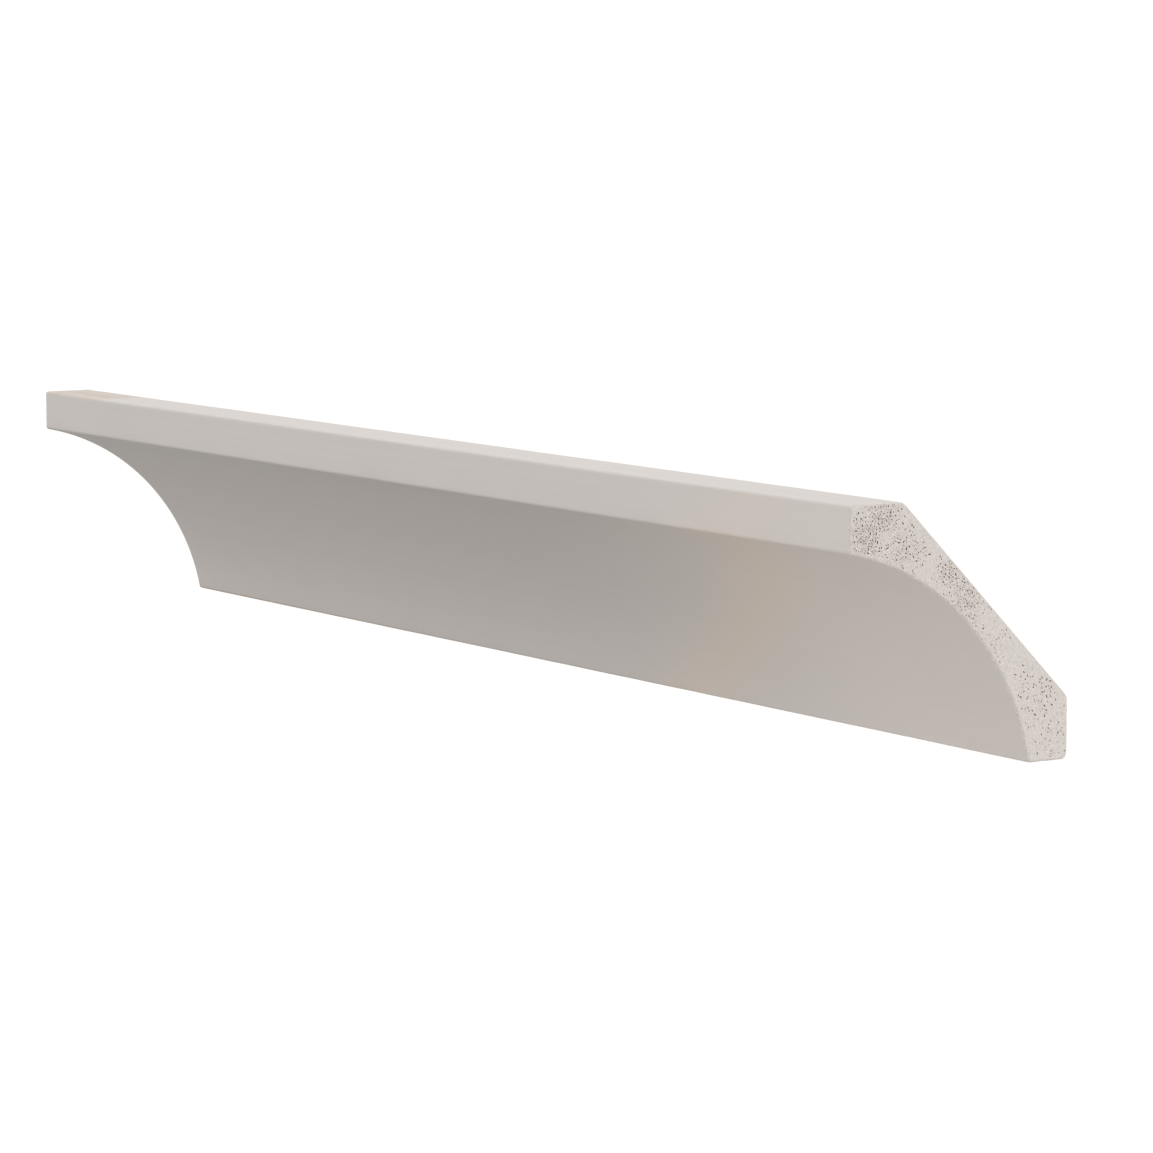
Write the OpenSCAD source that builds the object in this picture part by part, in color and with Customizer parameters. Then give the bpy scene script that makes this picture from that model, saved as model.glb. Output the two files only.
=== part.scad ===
// Sprung cove crown moulding: one length of primed timber, cut square at both ends.
// The section is symmetric about the 45 degree line between wall and ceiling.
// +X runs along the length, +Y points into the wall, +Z points up to the ceiling.
// The origin is the middle of the flat bearing face that lies on the wall.

/* [Length] */
// Length of the piece, cut square at both ends
length = 355; // [150:5:2400]

/* [Stock] */
// Width of the board that the moulding is milled from, tip to tip
face_width = 76.2; // [64:0.1:120]
// Thickness of that board
thickness = 15.9; // [14:0.1:19]

/* [Bearing faces] */
// Width of the flats that lie on the wall and on the ceiling
bearing = 12.8; // [9:0.1:15]

/* [Cove] */
// Depth of the hollow below the line between the two square fillets
cove_depth = 9.6; // [5:0.1:10.5]

/* [Arrises] */
// Rounding where each bearing face meets the back
back_arris = 2; // [0.3:0.1:2.5]
// Rounding of the two tips, where fillet and bearing face meet
tip_arris = 0.6; // [0.3:0.1:1.5]
// Rounding where each fillet meets the cove
cove_arris = 0.7; // [0.3:0.1:1]

/* [Paint] */
// Colour of the primer
primer = [0.82, 0.80, 0.77];

/* [Hidden] */
$fn = 360;

// Set at 45 degrees, the board reaches as far out from the wall as down from the ceiling.
projection = face_width / sqrt(2);
// The square fillet at each tip takes what the bearing face leaves of the thickness.
fillet = thickness * sqrt(2) - bearing;

// Corners of the section, with the foot of the wall face at [0, 0] and the room at -X.
wall_foot = [0, 0];
wall_top = [0, bearing];
cove_foot = [-fillet, 0];
cove_head = [-projection, projection - fillet];
ceiling_back = [bearing - projection, projection];
ceiling_tip = [-projection, projection];

// The cove is one arc through the edges of both fillets, centred out in the room.
chord = norm(cove_head - cove_foot);
cove_radius = (chord * chord / 4 + cove_depth * cove_depth) / (2 * cove_depth);
cove_centre = (cove_head + cove_foot) / 2 - (cove_radius - cove_depth) * [1, 1] / sqrt(2);

// How far the flats run on into the hollow, which the cove then cuts away
run_on = 1;
// Each rounding stands this proud of its faces, so that it crosses them cleanly.
proud = 0.005;

function unit(v) = v / norm(v);

// The point of the face from p towards a that lies square to c
function foot_on_face(p, a, c) = p + unit(a - p) * ((c - p) * unit(a - p));

// What rounding takes off a corner: the doubled kite between its centre and the corner, less the round
module rounding_waste(centre, radius, foot_a, corner, foot_b) {
    difference() {
        polygon([centre, for (p = [foot_a, corner, foot_b]) 2 * p - centre]);
        translate(centre) circle(r = radius);
    }
}

// Rounds the corner p between straight faces that run towards a and b.
module ease_corner(p, a, b, radius) {
    half_angle = acos(unit(a - p) * unit(b - p)) / 2;
    inward = unit(unit(a - p) + unit(b - p));
    centre = p + inward * (radius - proud) / sin(half_angle);
    rounding_waste(centre, radius, foot_on_face(p, a, centre), p, foot_on_face(p, b, centre));
}

// Rounds the edge between the lower fillet and the cove.
module ease_cove_edge(radius) {
    height = radius - proud;
    reach = cove_radius + height;
    rise = height - cove_centre[1];
    centre = [cove_centre[0] + sqrt(reach * reach - rise * rise), height];
    foot_on_cove = cove_centre + cove_radius * unit(centre - cove_centre);
    rounding_waste(centre, radius, [centre[0], 0], cove_foot, foot_on_cove);
}

// Repeats what is drawn for the wall side on the ceiling side.
module on_both_sides() {
    children();
    translate([-projection, projection]) mirror([1, -1]) children();
}

// Cross-section of the moulding
module section() {
    difference() {
        polygon([
            wall_foot, wall_top, ceiling_back, ceiling_tip,
            cove_head - [0, run_on], cove_foot - [run_on, 0]
        ]);
        translate(cove_centre) circle(r = cove_radius);
        on_both_sides() {
            ease_corner(wall_top, ceiling_back, wall_foot, back_arris);
            ease_corner(wall_foot, wall_top, cove_foot, tip_arris);
            ease_cove_edge(cove_arris);
        }
    }
}

// The section stands up in the YZ plane and runs along X.
module crown_moulding() {
    color(primer)
        translate([-length / 2, 0, -bearing / 2])
            rotate([90, 0, 90])
                linear_extrude(height = length) section();
}

crown_moulding();
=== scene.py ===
import math
import random

import bpy
from mathutils import Matrix, Vector, noise
from mathutils.geometry import delaunay_2d_cdt


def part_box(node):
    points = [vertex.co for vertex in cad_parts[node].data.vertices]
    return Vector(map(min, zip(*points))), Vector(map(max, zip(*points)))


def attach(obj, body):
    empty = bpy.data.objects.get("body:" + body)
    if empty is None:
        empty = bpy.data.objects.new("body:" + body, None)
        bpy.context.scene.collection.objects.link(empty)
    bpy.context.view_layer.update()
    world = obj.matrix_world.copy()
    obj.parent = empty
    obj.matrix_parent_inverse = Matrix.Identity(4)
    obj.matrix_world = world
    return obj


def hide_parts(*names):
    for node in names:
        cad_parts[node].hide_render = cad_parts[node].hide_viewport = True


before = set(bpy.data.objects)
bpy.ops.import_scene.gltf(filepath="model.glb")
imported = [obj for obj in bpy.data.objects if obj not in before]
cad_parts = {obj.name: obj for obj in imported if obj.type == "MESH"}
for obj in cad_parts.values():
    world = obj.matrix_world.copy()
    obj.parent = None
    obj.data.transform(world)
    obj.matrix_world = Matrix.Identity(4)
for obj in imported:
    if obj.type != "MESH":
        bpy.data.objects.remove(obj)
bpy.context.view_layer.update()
low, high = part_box("crown_moulding")
centre = (low + high) / 2
drop = high.z - low.z  # how far it comes down the wall, and out along the ceiling
print("frame loaded: %.0f mm long, %.1f mm drop" % ((high.x - low.x) * 1000, drop * 1000))


def smoothStep(value, start, end):
    share = min(1.0, max(0.0, (value - start) / (end - start)))
    return share * share * (3 - 2 * share)


def put(tree, kind, inputs=None, **settings):
    # one node, with its settings, and its sockets set or linked
    node = tree.nodes.new(kind)
    for key, value in settings.items():
        setattr(node, key, value)
    for key, value in (inputs or {}).items():
        if isinstance(value, bpy.types.NodeSocket):
            tree.links.new(value, node.inputs[key])
        else:
            node.inputs[key].default_value = value
    return node


# The section is worked out for the wall side, from the middle of the cove round to the
# middle of the back, and mirrored for the ceiling side. Its plane is (Y, Z).
section = {
    "thickness": 0.0159,  # of the board, square to its 45 degree back
    "coveDepth": 0.0096,
    "backArris": 0.002,
    "ceilingTip": 0.0006,
    "wallTip": 0.0012,  # worn rounder than it was cut
    "coveArris": 0.0007,
    "arrisSteps": 6,
    "flatStep": 0.003,
    "coveStep": 0.0018,
    "support": 0.00025,  # first step in from each arris, which keeps the flats flat
}
slope = Vector((1, 1)).normalized()  # from the room towards the back of the board
bearing = -2 * low.z  # the origin is the middle of the wall face
fillet = section["thickness"] * math.sqrt(2) - bearing


def flatRun(start, end, label):
    span = (end - start).length
    along = (end - start) / span
    outward = Vector((along.y, -along.x))
    inner = span - 2 * section["support"]
    count = max(1, round(inner / section["flatStep"]))
    steps = [0] + [section["support"] + inner * i / count for i in range(count + 1)] + [span]
    return [(start + along * step, outward, label) for step in steps]


def arcRun(middle, radius, start, end, steps, label, hollow=False):
    run = []
    for i in range(steps + 1):
        angle = start + (end - start) * i / steps
        ray = Vector((math.cos(angle), math.sin(angle)))
        run.append((middle + ray * radius, -ray if hollow else ray, label))
    return run


def wallSide(tip):
    # from the middle of the cove to the middle of the back, by a tip rounded to this radius
    halfChord = (drop - fillet) / math.sqrt(2)
    coveRadius = (halfChord ** 2 + section["coveDepth"] ** 2) / (2 * section["coveDepth"])
    chordMiddle = Vector((-(drop + fillet) / 2, low.z + (drop - fillet) / 2))
    coveMiddle = chordMiddle - slope * (coveRadius - section["coveDepth"])

    small = section["coveArris"]  # rounds the edge between the cove and the foot fillet
    rise = low.z + small - coveMiddle.y
    edge = Vector((coveMiddle.x + math.sqrt((coveRadius + small) ** 2 - rise ** 2), low.z + small))
    edgeAngle = math.atan2(edge.y - coveMiddle.y, edge.x - coveMiddle.x)

    tipMiddle = Vector((-tip, low.z + tip))
    back = section["backArris"]
    backMiddle = Vector((-back, low.z + bearing - back * math.tan(math.pi / 8)))
    backEnd = backMiddle + slope * back
    backHalf = chordMiddle + slope * (slope.dot(backEnd - chordMiddle))
    steps = section["arrisSteps"]
    coveSteps = round(coveRadius * (math.pi / 4 - edgeAngle) / section["coveStep"])
    runs = [
        arcRun(coveMiddle, coveRadius, math.pi / 4, edgeAngle, coveSteps, "cove", hollow=True),
        arcRun(edge, small, math.pi + edgeAngle, math.pi * 1.5, steps, "coveArris"),
        flatRun(Vector((edge.x, low.z)), Vector((-tip, low.z)), "fillet"),
        arcRun(tipMiddle, tip, math.pi * 1.5, math.pi * 2, steps, "tipArris"),
        flatRun(Vector((0, low.z + tip)), Vector((0, backMiddle.y)), "bearing"),
        arcRun(backMiddle, back, 0, math.pi / 4, steps, "backArris"),
        flatRun(backEnd, backHalf, "back"),
    ]
    return [runs[0][0]] + [point for run in runs for point in run[1:]]


def wholeSection():
    wall = wallSide(section["wallTip"])
    ceiling = [(Vector((low.y + p.y - low.z, low.z + p.x - low.y)), n.yx, label + "Above")
               for p, n, label in reversed(wallSide(section["ceilingTip"])[1:-1])]
    return wall + ceiling


faceSlot, endSlot, poreSlot = range(3)  # the timber's materials, in order

timber = {
    "endArris": 0.0005,  # rounding left by sanding each sawn end
    "endSteps": 4,
    "easedLess": 0.35,  # share of that rounding on the back and the bearing faces
    "lengthStep": 0.0016,
    "wave": 0.00002,  # height of the long waves that milling and paint leave
    "waveTurns": (22, 60),  # waves to the metre, along and across
    "arrisWander": 0.00005,  # how unevenly the arrises are eased
    "wanderTurns": (70, 90),
    "poreRim": 0.00004,  # sound paint between the end's rounding and its first pores
    "poreSize": (0.00005, 0.00015),  # half width
    "poreSkew": 1.6,  # over 1, so that small ones are commoner
    "poreSwell": (0.85, 1.1),  # how uneven an outline is
    "poreSkip": 0.15,  # and how far its corners stray, in shares of a side
    "poreDepth": (0.8, 2.0),  # in half widths
    "poreFloor": 0.6,  # width of the bottom of a pore against its mouth
    "poreGap": 1.02,  # least distance between two pores, in their reaches
    "poreStretch": (1.2, 2.8),
    "poreSlant": -0.9,  # radians, the way most of them lean
    "poreTurn": 0.7,  # and how far they stray from it
    "poreSides": 7,
    "gridStep": 0.0012,
    "gridJitter": (0.3, 0.7),
    "gridGap": 1.4,  # least distance from a pore to a grid point, in its reach
    "loosePores": 90,
    "looseSpread": 0.002,
    "thickPores": 14e6,  # pores to a square metre that tint the primer fully
    "bareFrom": 0.321,  # from the right end, where the primer on the ceiling face runs out
    "bareBlend": 0.004,  # length over which it thins out
    "bareLoss": 0.27,  # how much of the primer is missing there
    "footBrowning": 0.45,  # how much the primer cover drops on the foot's front arris at the left end, so it shows darker and browner
    "footBrowningFrom": 0.12,  # from the right end
    # painted warm light: a warm band of light painted into the primer colour, slanting over the cove
    "paintedLightBand": (0.047, 0.119),  # from the right end, where it meets the ceiling and wall fillets
    "paintedLightSpread": 0.0115,
    "paintedLightOnFillet": 0.5,  # its strength on the ceiling fillet against the cove
    "backCover": 0.55,  # primer on the back and on the bearing faces, against 1 in front
    "bearingCover": 0.95,
}

# Where the open pores of the end grain gather: share of the board's width from the ceiling
# tip, share of its thickness from the front, spread in metres, pores aimed at it
porePatches = (
    (0.10, 0.30, 0.0026, 700),
    (0.09, 0.75, 0.0022, 360),
    (0.22, 0.60, 0.0026, 360),
    (0.36, 0.85, 0.0016, 180),
    (0.45, 0.75, 0.0026, 440),
    (0.60, 0.60, 0.0026, 70),
    (0.80, 0.65, 0.0032, 140),
    (0.92, 0.45, 0.0022, 60),
)
# sound spots between them: the same shares, and a radius
soundSpots = (
    (0.14, 0.50, 0.0013),
    (0.25, 0.50, 0.0012),
    (0.30, 0.70, 0.0014),
    (0.65, 0.80, 0.0020),
)


def boardPoint(along, through):
    # a place on the end grain, from shares of the board's width and thickness
    tip = Vector((low.y, high.z)) - slope * fillet / math.sqrt(2)
    across = Vector((slope.x, -slope.y)) * drop * math.sqrt(2)
    return tip + across * along + slope * section["thickness"] * through


def poreHaze(place):
    # 0 to 1, how thick the pores lie round this place
    total = 0.0
    for along, through, spread, count in porePatches:
        distance = (place - boardPoint(along, through)).length / spread
        crowding = count / (math.tau * spread * spread * timber["thickPores"])
        total += crowding * math.exp(-distance * distance / 2)
    return min(1.0, total)


def insideBy(ring, place):
    # how far the place lies inside the ring, negative outside
    inside, nearest = False, 1.0
    for a, b in zip(ring, ring[1:] + ring[:1]):
        if (a.y > place.y) != (b.y > place.y):
            crossing = a.x + (b.x - a.x) * (place.y - a.y) / (b.y - a.y)
            if place.x < crossing:
                inside = not inside
        edge = b - a
        share = min(1.0, max(0.0, (place - a).dot(edge) / edge.length_squared))
        nearest = min(nearest, (place - a - edge * share).length)
    return nearest if inside else -nearest


def scatterPores(ring, rng):
    # pores as (place, half width, stretch), none touching another or the rim
    wanted = [(boardPoint(along, through), spread)
              for along, through, spread, count in porePatches for i in range(count)]
    wanted += [(boardPoint(rng.random(), rng.random()), timber["looseSpread"])
               for i in range(timber["loosePores"])]
    sound = [(boardPoint(along, through), radius) for along, through, radius in soundSpots]
    smallest, largest = timber["poreSize"]
    pores = []
    for middle, spread in wanted:
        place = middle + Vector((rng.gauss(0, spread), rng.gauss(0, spread)))
        size = smallest + (largest - smallest) * rng.random() ** timber["poreSkew"]
        stretch = rng.uniform(*timber["poreStretch"])
        reach = size * stretch
        if insideBy(ring, place) < timber["poreRim"] + reach:
            continue
        if any((place - spot).length < radius for spot, radius in sound):
            continue
        if all((place - other[0]).length > (reach + other[1] * other[2]) * timber["poreGap"]
               for other in pores):
            pores.append((place, size, stretch))
    return pores


def poreOutline(place, size, stretch, rng):
    turn = rng.gauss(timber["poreSlant"], timber["poreTurn"])
    along = Vector((math.cos(turn), math.sin(turn)))
    across = Vector((-along.y, along.x))
    outline = []
    for i in range(timber["poreSides"]):
        angle = (i + rng.uniform(-timber["poreSkip"], timber["poreSkip"])) / timber["poreSides"] * math.tau
        swell = size * rng.uniform(*timber["poreSwell"])
        ahead = along * math.cos(angle) * swell * stretch
        outline.append(place + ahead + across * math.sin(angle) * swell)
    return outline


def lengthStations():
    # places along X, and how far the section is drawn in there for the rounded ends
    arris = timber["endArris"]
    turns = [math.pi / 2 * i / timber["endSteps"] for i in range(timber["endSteps"] + 1)]
    rounding = [(arris * (1 - math.sin(turn)), arris * (1 - math.cos(turn))) for turn in turns]
    inner = high.x - low.x - 2 * arris
    count = round(inner / timber["lengthStep"])
    stations = [(low.x + depth, inset) for depth, inset in reversed(rounding)]
    stations += [(low.x + arris + inner * i / count, 0.0) for i in range(1, count)]
    return stations + [(high.x - depth, inset) for depth, inset in rounding]


class Shell:
    # points, faces and the values that the finishes read at each point, painted warm light among them
    def __init__(self):
        self.points = []
        self.cover = []
        self.arris = []
        self.haze = []
        self.paintedWarmLight = []
        self.faces = []
        self.slots = []

    def point(self, place, cover=1.0, arris=0.0, haze=0.0, paintedWarmLight=0.0):
        self.points.append(place)
        self.cover.append(cover)
        self.arris.append(arris)
        self.haze.append(haze)
        self.paintedWarmLight.append(paintedWarmLight)
        return len(self.points) - 1

    def face(self, corners, slot, turned=False):
        self.faces.append(tuple(reversed(corners)) if turned else tuple(corners))
        self.slots.append(slot)


def primerCover(x, label):
    # full on what shows in a room, thinner on the back, running out on the ceiling face, and thinner along
    # the foot's front arris, which shows darker and browner there
    thinner = {"back": timber["backCover"], "bearing": timber["bearingCover"]}
    cover = thinner.get(label.replace("Above", ""), 1.0)
    if label in ("bearingAbove", "tipArrisAbove", "backArrisAbove"):
        bare = smoothStep(high.x - x, timber["bareFrom"], timber["bareFrom"] + timber["bareBlend"])
        cover -= timber["bareLoss"] * bare
    # darker and browner along the foot's front arris, growing towards the left end
    if label == "coveArris":
        cover -= timber["footBrowning"] * smoothStep(high.x - x, timber["footBrowningFrom"], high.x - low.x)
    return cover


def paintedWarmBand(x, place, label):
    # painted warm light: a faint warm band of light painted into the primer colour, slanting over the cove
    # from fillet to fillet
    if not label.startswith(("cove", "filletAbove")):
        return 0.0
    fall = (high.z - fillet - place.y) / (drop - fillet)
    start, end = timber["paintedLightBand"]
    distance = (high.x - x - start - (end - start) * fall) / timber["paintedLightSpread"]
    return math.exp(-distance * distance / 2) * (timber["paintedLightOnFillet"] if label == "filletAbove" else 1.0)


def roll(x, p, turns):
    # smooth noise, -1 to 1, at so many turns to the metre along and across
    along, across = turns
    return noise.noise(Vector((x * along, p.x * across, p.y * across)))


def layLength(shell):
    outline = wholeSection()
    stations = lengthStations()
    around = len(outline)
    for x, inset in stations:
        for p, n, label in outline:
            wave = roll(x, p, timber["waveTurns"]) * timber["wave"] - timber["wave"]
            if "Arris" in label:
                wave -= abs(roll(x, p, timber["wanderTurns"])) * timber["arrisWander"]
            eased = timber["easedLess"] if label.startswith("b") else 1.0
            place = p + n * (wave - inset * eased)
            if inset == 0:
                # each point carries the painted warm light band as well as its primer cover
                shell.point((x, place.x, place.y), primerCover(x, label), float("Arris" in label),
                            paintedWarmLight=paintedWarmBand(x, place, label))
            else:
                shell.point((x, place.x, place.y), haze=poreHaze(place))
    for i in range(len(stations) - 1):
        rounded = stations[i][1] + stations[i + 1][1] > 0
        for j in range(around):
            k = (j + 1) % around
            near, far = i * around, (i + 1) * around
            shell.face((near + j, near + k, far + k, far + j), endSlot if rounded else faceSlot)
    return around


def layEnd(shell, x, first, around, seed):
    # the sawn end: flat paint with a real pit for each open pore
    rng = random.Random(seed)
    outward = 1 if x > centre.x else -1
    sides = timber["poreSides"]
    ring = [Vector(shell.points[first + j][1:]) for j in range(around)]
    pores = scatterPores(ring, rng)
    flat = list(ring)
    loops = [list(range(around))]
    for place, size, stretch in pores:
        loops.append(list(range(len(flat), len(flat) + sides)))
        flat += poreOutline(place, size, stretch, rng)
    step = timber["gridStep"]
    for row in range(int(drop / step)):
        for column in range(int(drop / step)):
            spot = Vector((low.y + (column + rng.uniform(*timber["gridJitter"])) * step,
                           low.z + (row + rng.uniform(*timber["gridJitter"])) * step))
            if insideBy(ring, spot) > step / 3:
                if all((spot - place).length > size * stretch * timber["gridGap"]
                       for place, size, stretch in pores):
                    flat.append(spot)

    spots, _, triangles, origins, _, within = delaunay_2d_cdt(flat, [], loops, 1, 1e-9)
    ids = []
    madeOf = {}
    for spot, sources in zip(spots, origins):
        if sources and sources[0] < around:
            ids.append(first + sources[0])
        else:
            ids.append(shell.point((x, spot.x, spot.y), haze=poreHaze(spot)))
        for source in sources:
            madeOf[source] = ids[-1]
    for triangle, inLoops in zip(triangles, within):
        if max(inLoops) == 0:
            shell.face([ids[i] for i in triangle], endSlot, turned=outward < 0)

    for (place, size, stretch), loop in zip(pores, loops[1:]):
        depth = size * rng.uniform(*timber["poreDepth"])
        rim = [madeOf[i] for i in loop]
        floor = []
        for i in loop:
            spot = place.lerp(flat[i], timber["poreFloor"])
            floor.append(shell.point((x - outward * depth, spot.x, spot.y), cover=0.0, haze=1.0))
        for i in range(sides):
            k = (i + 1) % sides
            shell.face((rim[i], rim[k], floor[k], floor[i]), poreSlot, turned=outward < 0)
        shell.face(floor, poreSlot, turned=outward < 0)
    print("end at %.0f mm: %d open pores" % (x * 1000, len(pores)))


def buildMoulding():
    shell = Shell()
    around = layLength(shell)
    layEnd(shell, low.x, 0, around, seed=11)
    layEnd(shell, high.x, (len(lengthStations()) - 1) * around, around, seed=7)
    mesh = bpy.data.meshes.new("crownMouldingTimber")
    mesh.from_pydata(shell.points, [], shell.faces)
    mesh.polygons.foreach_set("material_index", shell.slots)
    mesh.polygons.foreach_set("use_smooth", [len(face) == 4 and slot != poreSlot
                                             for face, slot in zip(shell.faces, shell.slots)])
    for name in ("cover", "arris", "haze", "paintedWarmLight"):
        mesh.attributes.new(name, "FLOAT", "POINT").data.foreach_set("value", getattr(shell, name))
    if mesh.validate(verbose=True):
        print("mesh had faults")
    piece = bpy.data.objects.new("crownMouldingTimber", mesh)
    bpy.context.scene.collection.objects.link(piece)
    triangles = sum(len(face) - 2 for face in shell.faces)
    print("timber: %d points, %d triangles" % (len(shell.points), triangles))
    return piece


moulding = buildMoulding()

finish = {
    "paint": (0.765, 0.715, 0.672, 1),
    "paintedWarmTint": (1.055, 1.0, 0.945),  # how the painted warm light tints the primer colour
    "earlyWood": (0.66, 0.46, 0.31, 1),
    "lateWood": (0.45, 0.27, 0.16, 1),
    "pore": (0.25, 0.16, 0.10, 1),
    "poreDeep": (0.12, 0.075, 0.045, 1),
    "stain": (0.66, 0.575, 0.50, 1),  # where timber tints the primer round its pores
}


def newGroup(name, inputs, outputs):
    group = bpy.data.node_groups.new(name, "ShaderNodeTree")
    for label, kind, value in inputs:
        socket = group.interface.new_socket(label, in_out="INPUT", socket_type="NodeSocket" + kind)
        socket.default_value = value
    for label, kind in outputs:
        group.interface.new_socket(label, in_out="OUTPUT", socket_type="NodeSocket" + kind)
    return group, put(group, "NodeGroupInput").outputs, put(group, "NodeGroupOutput").inputs


def objectPlace(tree, scale=(1.0, 1.0, 1.0), shift=(0.0, 0.0, 0.0)):
    coordinates = put(tree, "ShaderNodeTexCoord").outputs["Object"]
    mapping = put(tree, "ShaderNodeMapping", {"Vector": coordinates, "Scale": scale, "Location": shift})
    return mapping.outputs[0]


def grain(tree, vector, scale=1.0, detail=2.0):
    return put(tree, "ShaderNodeTexNoise", {"Vector": vector, "Scale": scale, "Detail": detail}).outputs[0]


def sum2(tree, a, b, operation="ADD"):
    return put(tree, "ShaderNodeMath", {0: a, 1: b}, operation=operation).outputs[0]


def timesPlus(tree, a, b, c):
    return put(tree, "ShaderNodeMath", {0: a, 1: b, 2: c}, operation="MULTIPLY_ADD").outputs[0]


def remap(tree, value, fromMin, fromMax, toMin=0.0, toMax=1.0):
    return put(tree, "ShaderNodeMapRange", {"Value": value, "From Min": fromMin, "From Max": fromMax,
                                            "To Min": toMin, "To Max": toMax}).outputs[0]


def mixColours(tree, share, a, b):
    node = put(tree, "ShaderNodeMix", {0: share, 6: a, 7: b}, data_type="RGBA")
    return node.outputs[2]


def attribute(tree, name):
    return put(tree, "ShaderNodeAttribute", attribute_name=name).outputs["Fac"]


def makePrimerSkin():
    # sprayed primer: slow drifts of tone, a fine peel and faint marks along the length, and the painted
    # warm light tinting its colour
    group, inlet, outlet = newGroup(
        "primerSkin",
        [("Paint", "Color", finish["paint"]), ("Painted warm light", "Float", 0.0), ("Drift", "Float", 0.03),
         ("Fleck", "Float", 0.0), ("Peel", "Float", 0.6)],
        [("Color", "Color"), ("Roughness", "Float"), ("Height", "Float")])
    slow = grain(group, objectPlace(group), 25.0)
    peel = grain(group, objectPlace(group), 2300.0)
    marks = grain(group, objectPlace(group, (5.0, 600.0, 600.0)), 1.0, 3.0)
    swing = sum2(group, sum2(group, slow, marks), 1.0, "SUBTRACT")
    drift = sum2(group, swing, inlet["Drift"], "MULTIPLY")
    fleck = timesPlus(group, sum2(group, peel, 0.5, "SUBTRACT"), inlet["Fleck"], drift)
    tone = put(group, "ShaderNodeVectorMath", {0: inlet["Paint"], 1: sum2(group, fleck, 1.0)},
               operation="MULTIPLY")
    # painted warm light: the primer colour tinted warm where the band of light is painted
    warmLitTone = put(group, "ShaderNodeVectorMath", {0: tone.outputs[0], 1: finish["paintedWarmTint"]},
                 operation="MULTIPLY")
    group.links.new(mixColours(group, inlet["Painted warm light"], tone.outputs[0], warmLitTone.outputs[0]), outlet["Color"])
    group.links.new(remap(group, slow, 0.3, 0.7, 0.42, 0.52), outlet["Roughness"])
    group.links.new(timesPlus(group, peel, inlet["Peel"], marks), outlet["Height"])
    return group


def makeTimberGrain():
    # growth rings about a pith in front of the board, running along X
    group, inlet, outlet = newGroup(
        "timberGrain",
        [("Early wood", "Color", finish["earlyWood"]), ("Late wood", "Color", finish["lateWood"]),
         ("Rings", "Float", 130.0)],
        [("Color", "Color"), ("Height", "Float")])
    about = objectPlace(group, (0.08, 1.0, 1.0), (0.0, 0.075, 0.05))
    rings = put(group, "ShaderNodeTexWave",
                {"Vector": about, "Scale": inlet["Rings"],
                 "Distortion": 2.5, "Detail": 2.0, "Detail Scale": 0.3},
                wave_type="RINGS", rings_direction="X", wave_profile="SAW").outputs["Fac"]
    fibre = grain(group, objectPlace(group, (25.0, 2000.0, 2000.0)))
    late = timesPlus(group, fibre, 0.35, remap(group, rings, 0.45, 1.0, 0.0, 0.75))
    group.links.new(mixColours(group, late, inlet["Early wood"], inlet["Late wood"]), outlet["Color"])
    group.links.new(late, outlet["Height"])
    return group


def makePrimerCover():
    # 1 where paint hides the timber, 0 where it is bare, thin along the arrises
    group, inlet, outlet = newGroup(
        "primerCover",
        [("Cover", "Float", 1.0), ("Arris", "Float", 0.0), ("Wear", "Float", 0.2)],
        [("Mask", "Float")])
    streaks = grain(group, objectPlace(group, (9.0, 420.0, 420.0)), 1.0, 3.0)
    blots = grain(group, objectPlace(group), 300.0, 3.0)
    spots = sum2(group, blots, 0.4, "MULTIPLY")
    uneven = sum2(group, timesPlus(group, streaks, 0.6, spots), 0.5, "SUBTRACT")
    worn = sum2(group, inlet["Cover"], sum2(group, inlet["Arris"], inlet["Wear"], "MULTIPLY"), "SUBTRACT")
    thin = sum2(group, 1.0, worn, "SUBTRACT")
    loss = sum2(group, thin, timesPlus(group, uneven, 2.2, 1.0), "MULTIPLY")
    clamped = put(group, "ShaderNodeClamp", {"Value": sum2(group, 1.0, loss, "SUBTRACT")}).outputs[0]
    group.links.new(clamped, outlet["Mask"])
    return group


primerSkin = makePrimerSkin()
timberGrain = makeTimberGrain()
primerCoverMask = makePrimerCover()


def newMaterial(name):
    material = bpy.data.materials.new(name)
    material.use_nodes = True
    tree = material.node_tree
    tree.nodes.clear()
    return material, tree


def closeMaterial(tree, colour, roughness, height, distance, specular=0.5):
    bump = put(tree, "ShaderNodeBump", {"Height": height, "Distance": distance, "Strength": 1.0})
    shader = put(tree, "ShaderNodeBsdfPrincipled", {
        "Base Color": colour, "Roughness": roughness, "Normal": bump.outputs[0],
        "Specular IOR Level": specular})
    put(tree, "ShaderNodeOutputMaterial", {"Surface": shader.outputs[0]})


def primedFace():
    material, tree = newMaterial("primedFace")
    # the primer here takes the painted warm light band from the mesh
    skin = put(tree, "ShaderNodeGroup", {
        "Painted warm light": attribute(tree, "paintedWarmLight"), "Drift": 0.03, "Fleck": 0.01, "Peel": 0.5}, node_tree=primerSkin)
    wood = put(tree, "ShaderNodeGroup", node_tree=timberGrain)
    cover = put(tree, "ShaderNodeGroup", {
        "Cover": attribute(tree, "cover"), "Arris": attribute(tree, "arris"), "Wear": 0.05},
        node_tree=primerCoverMask)
    mask = cover.outputs["Mask"]
    colour = mixColours(tree, mask, wood.outputs["Color"], skin.outputs["Color"])
    roughness = timesPlus(tree, sum2(tree, 1.0, mask, "SUBTRACT"), 0.25, skin.outputs["Roughness"])
    height = timesPlus(tree, wood.outputs["Height"], 0.3, skin.outputs["Height"])
    closeMaterial(tree, colour, roughness, height, 0.00002)
    return material


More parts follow.
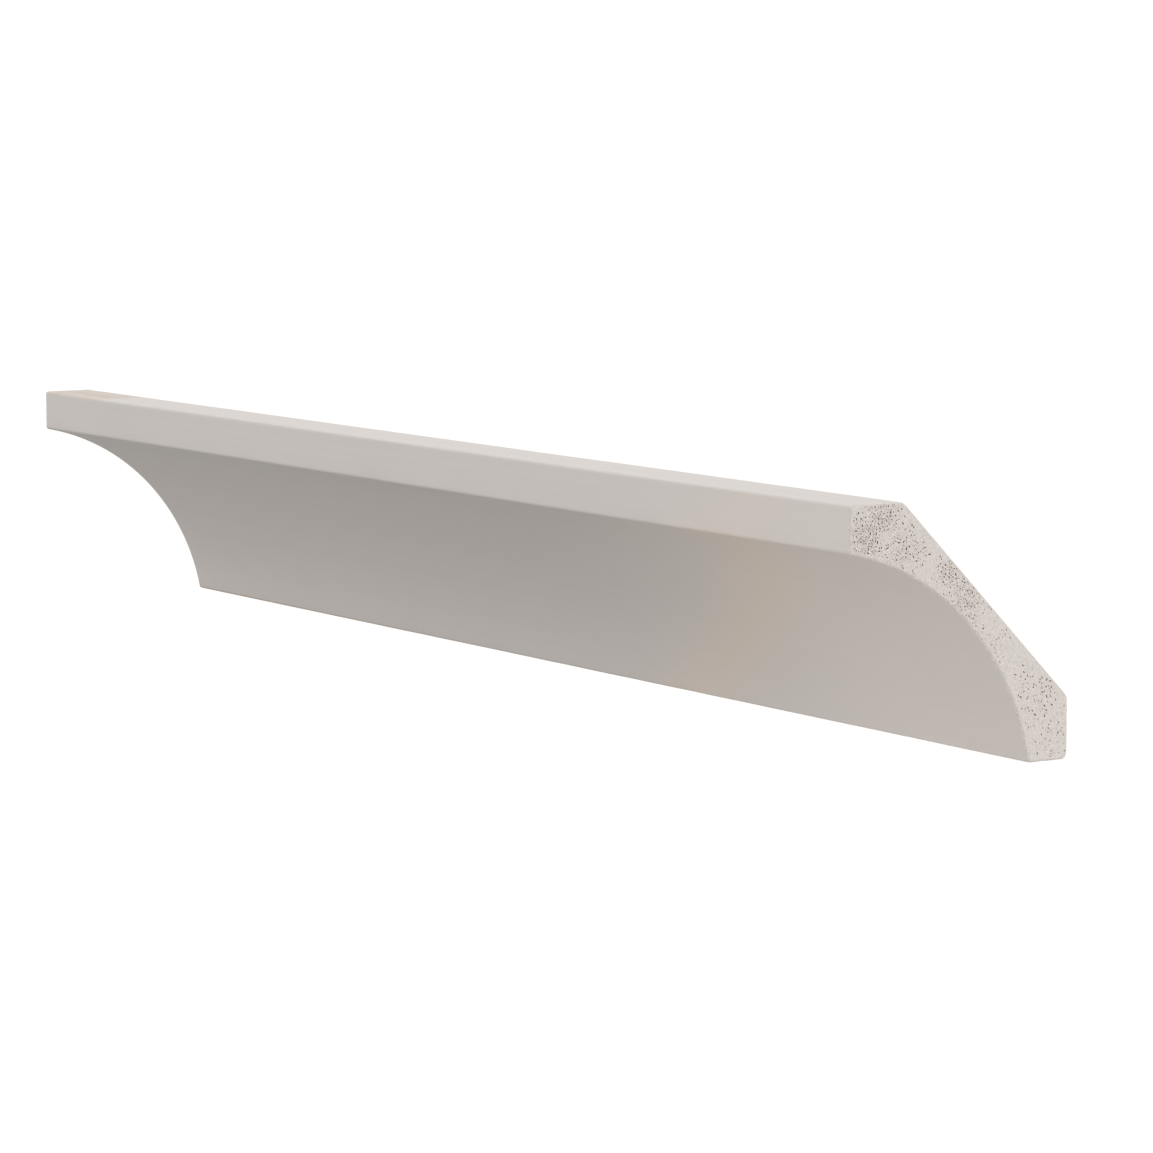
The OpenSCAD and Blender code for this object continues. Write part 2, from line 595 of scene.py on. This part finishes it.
def primedEndGrain():
    material, tree = newMaterial("primedEndGrain")
    skin = put(tree, "ShaderNodeGroup", {"Drift": 0.06, "Fleck": 0.55, "Peel": 1.0}, node_tree=primerSkin)
    blots = grain(tree, objectPlace(tree), 900.0, 3.0)
    patches = sum2(tree, attribute(tree, "haze"), remap(tree, blots, 0.42, 0.62), "MULTIPLY")
    pinholes = put(tree, "ShaderNodeTexVoronoi", {"Vector": objectPlace(tree), "Scale": 2600.0})
    holes = sum2(tree, remap(tree, pinholes.outputs["Distance"], 0.3, 0.15), patches, "MULTIPLY")
    staining = sum2(tree, patches, 0.55, "MULTIPLY")
    stained = mixColours(tree, staining, skin.outputs["Color"], finish["stain"])
    colour = mixColours(tree, sum2(tree, holes, 0.5, "MULTIPLY"), stained, finish["pore"])
    roughness = timesPlus(tree, patches, 0.2, skin.outputs["Roughness"])
    height = timesPlus(tree, holes, -2.0, skin.outputs["Height"])
    closeMaterial(tree, colour, roughness, height, 0.00004)
    return material


def openPore():
    material, tree = newMaterial("openPore")
    wood = put(tree, "ShaderNodeGroup", {
        "Early wood": finish["pore"], "Late wood": finish["poreDeep"]}, node_tree=timberGrain)
    flecks = remap(tree, grain(tree, objectPlace(tree), 2500.0), 0.55, 0.75, 0.0, 0.5)
    colour = mixColours(tree, flecks, wood.outputs["Color"], finish["stain"])
    roughness = timesPlus(tree, wood.outputs["Height"], 0.1, 0.75)
    closeMaterial(tree, colour, roughness, wood.outputs["Height"], 0.00003, specular=0.2)
    return material


for material in (primedFace(), primedEndGrain(), openPore()):
    moulding.data.materials.append(material)
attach(moulding, "root")
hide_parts("crown_moulding")
print("finishes: primed faces, primed end grain, open pores")

studio = {
    "floorDrop": 1.0,  # below the moulding
    "floorHalf": 14.0,
    "white": 1.03,  # floor and sky to the eye, past full so that neither tint shows
    "floorGlow": 0.409,  # floor and sky as lights
    "floorTint": (1.015, 1.0, 0.98, 1),
    "skyGlow": 0.766,
    "skyTint": (0.992, 1.0, 1.015, 1),
    "beamRun": (0.076, -0.045, 0.0446),  # the way each lamp's second side runs, slanting over the cove
}

# Places and aims are from the moulding's middle. The low beam reaches the right end only.
lights = (
    {"name": "endSide", "place": (1.6, 0.9, -0.1), "aim": (0, 0, 0), "size": (1, 1),
     "watts": 8.4, "spread": 180, "colour": (0.97, 0.92, 0.87)},
    {"name": "aboveFront", "place": (0, -1.3, 1.4), "aim": (0, 0, 0), "size": (1, 1),
     "watts": 5.3, "spread": 180, "colour": (1, 1, 1)},
    {"name": "above", "place": (0, 0, 1.8), "aim": (0, 0, 0), "size": (1, 1),
     "watts": 2.5, "spread": 180, "colour": (1, 1, 1)},
    {"name": "lowBeam", "place": (0.12, -0.25, -0.55), "aim": (0.197, -0.005, -0.005),
     "size": (0.12, 0.25), "watts": 0.0202, "spread": 16, "colour": (1, 0.91, 0.84)},
)


def plainWhite(tree, kind, tint, strength):
    # white to the eye, and dimmer as a light on the moulding
    path = put(tree, "ShaderNodeLightPath").outputs["Is Camera Ray"]
    glow = timesPlus(tree, path, studio["white"] - strength, strength)
    return put(tree, kind, {"Color": tint, "Strength": glow}).outputs[0]


def layFloor():
    half = studio["floorHalf"]
    z = low.z - studio["floorDrop"]
    turns = ((-1, -1), (1, -1), (1, 1), (-1, 1))
    corners = [(centre.x + x * half, centre.y + y * half, z) for x, y in turns]
    mesh = bpy.data.meshes.new("studioFloor")
    mesh.from_pydata(corners, [], [(0, 1, 2, 3)])
    floor = bpy.data.objects.new("studioFloor", mesh)
    bpy.context.scene.collection.objects.link(floor)
    material, tree = newMaterial("paleFloor")
    put(tree, "ShaderNodeOutputMaterial", {
        "Surface": plainWhite(tree, "ShaderNodeEmission", studio["floorTint"], studio["floorGlow"])})
    mesh.materials.append(material)


def makeSky():
    world = bpy.data.worlds.new("studioSky")
    world.use_nodes = True
    tree = world.node_tree
    tree.nodes.clear()
    put(tree, "ShaderNodeOutputWorld", {
        "Surface": plainWhite(tree, "ShaderNodeBackground", studio["skyTint"], studio["skyGlow"])})
    bpy.context.scene.world = world


def hangLights():
    for light in lights:
        lamp = bpy.data.lights.new(light["name"], "AREA")
        lamp.shape = "RECTANGLE"
        lamp.size, lamp.size_y = light["size"]
        lamp.energy = light["watts"]
        lamp.spread = math.radians(light["spread"])
        lamp.color = light["colour"]
        back = (Vector(light["place"]) - Vector(light["aim"])).normalized()
        run = Vector(studio["beamRun"])
        upright = (run - back * back.dot(run)).normalized()
        holder = bpy.data.objects.new(light["name"], lamp)
        holder.location = centre + Vector(light["place"])
        holder.rotation_euler = Matrix((upright.cross(back), upright, back)).transposed().to_euler()
        bpy.context.scene.collection.objects.link(holder)


layFloor()
makeSky()
hangLights()
print("stage: floor, sky and %d lights" % len(lights))

camera = {
    "azimuth": 57.67,  # degrees round from the front, towards the right end
    "elevation": 6.54,
    "distance": 1.0057,
    "lens": 141.1,
    "sensor": 36,
    "reach": 40,
    "aim": (0.603, 0.5, 0.46),  # shares of the moulding's box
}


def placeCamera():
    azimuth = math.radians(camera["azimuth"])
    elevation = math.radians(camera["elevation"])
    back = Vector((math.sin(azimuth) * math.cos(elevation), -math.cos(azimuth) * math.cos(elevation),
                   math.sin(elevation)))
    aim = low + Vector(share * span for share, span in zip(camera["aim"], high - low))
    body = bpy.data.cameras.new("studioCamera")
    body.lens = camera["lens"]
    body.sensor_width = camera["sensor"]
    body.clip_end = camera["reach"]
    holder = bpy.data.objects.new("studioCamera", body)
    holder.location = aim + back * camera["distance"]
    holder.rotation_euler = (-back).to_track_quat("-Z", "Y").to_euler()
    bpy.context.scene.collection.objects.link(holder)
    bpy.context.scene.camera = holder


placeCamera()
bpy.context.scene.view_settings.view_transform = "Standard"
bpy.context.scene.view_settings.look = "None"
